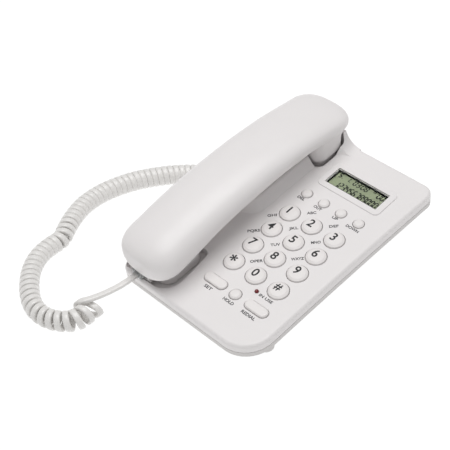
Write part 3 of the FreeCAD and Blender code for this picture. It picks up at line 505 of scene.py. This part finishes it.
def between(value, table):
    """Straight-line look-up in pairs of place and value."""
    for (a, low), (b, high) in zip(table, table[1:]):
        if value <= b:
            return low + (high - low) * max(value - a, 0) / (b - a)
    return table[-1][1]


def coil_reach(place):
    """How far the cord's middle stands off the line that it is wound about."""
    return between(place, [(0, 0.0064), (0.006, 0.0062), (0.015, 0.0056), (0.03, 0.0053),
                           (0.12, 0.0054), (0.2, 0.0059)])


def coil_pitch(place):
    """The turns lie apart at the handset's end and open a little in one sharp bend."""
    return between(place, [(0, 0.0066), (0.012, 0.0055), (0.05, 0.0050), (0.09, 0.0046),
                           (0.108, 0.0045), (0.114, 0.0056), (0.128, 0.0056), (0.134, 0.0045),
                           (0.18, 0.0044)])


def wound_turns():
    """Points of the turns, each with the way that it faces, outwards from the coil."""
    line = smooth_line([on_table(*point) for point in COIL], COIL_SAMPLES)
    places = lengths_along(line)
    turns, angle, here, index = [], math.pi, 0.0, 0
    top = -math.pi / 2
    while here < places[-1] - COIL_END or math.cos(angle - top) < 0.99:
        while places[index + 1] < here and index < len(line) - 2:
            index += 1
        part = (here - places[index]) / (places[index + 1] - places[index])
        centre = line[index].lerp(line[index + 1], part)
        centre.z = max(centre.z, coil_reach(here) + CORD_THICK / 2 + FLOOR_GAP)
        ahead = (line[min(index + 3, len(line) - 1)] - line[max(index - 2, 0)]).normalized()
        side = ahead.cross(UP).normalized()
        under = ahead.cross(side)
        outwards = math.cos(angle) * side + math.sin(angle) * under
        turns.append((centre + coil_reach(here) / REACH_LOSS * outwards, outwards))
        angle += 2 * math.pi / STEPS_PER_TURN
        here += coil_pitch(here) / STEPS_PER_TURN
    return turns


def cord_controls():
    """All points that the cord follows, each with the way that its flat side faces."""
    lead = [(on_table(*point), UP) for point in LEAD]
    middle = on_table(FIRST_TURN_CENTRE_X, 0, FIRST_TURN_CENTRE_Z)
    first = []
    for point in FIRST_TURN:
        spot = on_table(*point)
        first.append((spot, Vector((spot.x - middle.x, 0, spot.z - middle.z)).normalized()))
    return lead + first + wound_turns() + [(on_table(*point), UP) for point in LEAD_TO_BASE]


# The power that rounds the corners of the cord's section: 1 is an oval and 0 a box.
ROUNDNESS = 0.55


def ribbon_mesh(name, path, faces, wide, thick, sides=12):
    """A closed flat cord along a path; at each point its flat side faces the given way."""
    form = bmesh.new()
    rings = []
    for place, point in enumerate(path):
        ahead = (path[min(place + 1, len(path) - 1)] - path[max(place - 1, 0)]).normalized()
        across = ahead.cross(faces[place]).normalized()
        out = across.cross(ahead)
        ring = []
        for step in range(sides):
            turn = 2 * math.pi * (step + 0.5) / sides
            cosine, sine = math.cos(turn), math.sin(turn)
            along = math.copysign(abs(cosine) ** ROUNDNESS, cosine) * wide / 2
            up = math.copysign(abs(sine) ** ROUNDNESS, sine) * thick / 2
            ring.append(form.verts.new(point + along * across + up * out))
        rings.append(ring)
    for low, high in zip(rings, rings[1:]):
        for k in range(sides):
            form.faces.new((low[k], low[(k + 1) % sides], high[(k + 1) % sides], high[k]))
    form.faces.new(list(reversed(rings[0])))
    form.faces.new(rings[-1])
    bmesh.ops.recalc_face_normals(form, faces=form.faces)
    mesh = bpy.data.meshes.new(name)
    form.to_mesh(mesh)
    form.free()
    mesh.shade_smooth()
    return mesh


def make_cord(materials):
    """One flat cord from the handset along the coil to the base, in place of the CAD cord's three parts, which are
    hidden.
    """
    controls = cord_controls()
    path = smooth_line([point for point, face in controls], CORD_SAMPLES)
    faces = []
    for place in range(len(path)):
        spot = place / (len(path) - 1) * (len(controls) - 1)
        index = min(int(spot), len(controls) - 2)
        faces.append(controls[index][1].lerp(controls[index + 1][1], spot - index))
    mesh = ribbon_mesh("curly_cord", path, faces, CORD_WIDE, CORD_THICK)
    cord = new_object("curly_cord", mesh, materials["cord_vinyl"])
    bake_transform(cord)
    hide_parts("cord_lead_handset", "cord_curl", "cord_lead_base")


# ------------------------------------------------------------------ room, light, camera

def make_floor():
    """A pale floor that mostly glows by itself, so that it stays even and plain."""
    bpy.ops.mesh.primitive_plane_add(size=8)
    floor = bpy.context.object
    floor.name = "floor"
    floor.data.materials.append(new_material("floor_white", (0.1, 0.1, 0.1), 0.8,
                                             Emission_Color=(1, 1, 1, 1),
                                             Emission_Strength=0.95))


def area_light(name, place, aim, size, power):
    lamp = bpy.data.lights.new(name, "AREA")
    lamp.shape = "DISK"
    lamp.size = size
    lamp.energy = power
    light = bpy.data.objects.new(name, lamp)
    light.location = place
    light.rotation_euler = (Vector(aim) - Vector(place)).to_track_quat("-Z", "Y").to_euler()
    bpy.context.collection.objects.link(light)


WORLD_STRENGTH = 0.41


def make_light():
    """A soft overhead lamp in a white room."""
    world = bpy.data.worlds.new("studio")
    world.use_nodes = True
    background = world.node_tree.nodes["Background"]
    background.inputs["Color"].default_value = (1, 1, 1, 1)
    background.inputs["Strength"].default_value = WORLD_STRENGTH
    bpy.context.scene.world = world
    area_light("key_light", (-0.12, 0.0, 1.35), (0, 0, 0.02), 1.2, 11.8)
    bpy.context.scene.view_settings.view_transform = "Standard"


CAMERA_AZIMUTH = math.radians(44.67)
CAMERA_ELEVATION = math.radians(40.9)
CAMERA_FROM_FACE = Vector((0.3348, -0.4227, 0.4658))


def make_camera():
    data = bpy.data.cameras.new("camera")
    data.sensor_width = 36
    data.lens = 83.45
    camera = bpy.data.objects.new("camera", data)
    camera.location = FACE + CAMERA_FROM_FACE
    camera.rotation_euler = (math.pi / 2 - CAMERA_ELEVATION, 0, CAMERA_AZIMUTH)
    bpy.context.collection.objects.link(camera)
    bpy.context.scene.camera = camera


def main():
    materials = make_materials()
    paint_cad_nodes(materials)
    make_camera()
    make_cord(materials)
    print_keys(materials)
    print_labels(materials)
    make_display(materials)
    make_floor()
    make_light()


main()
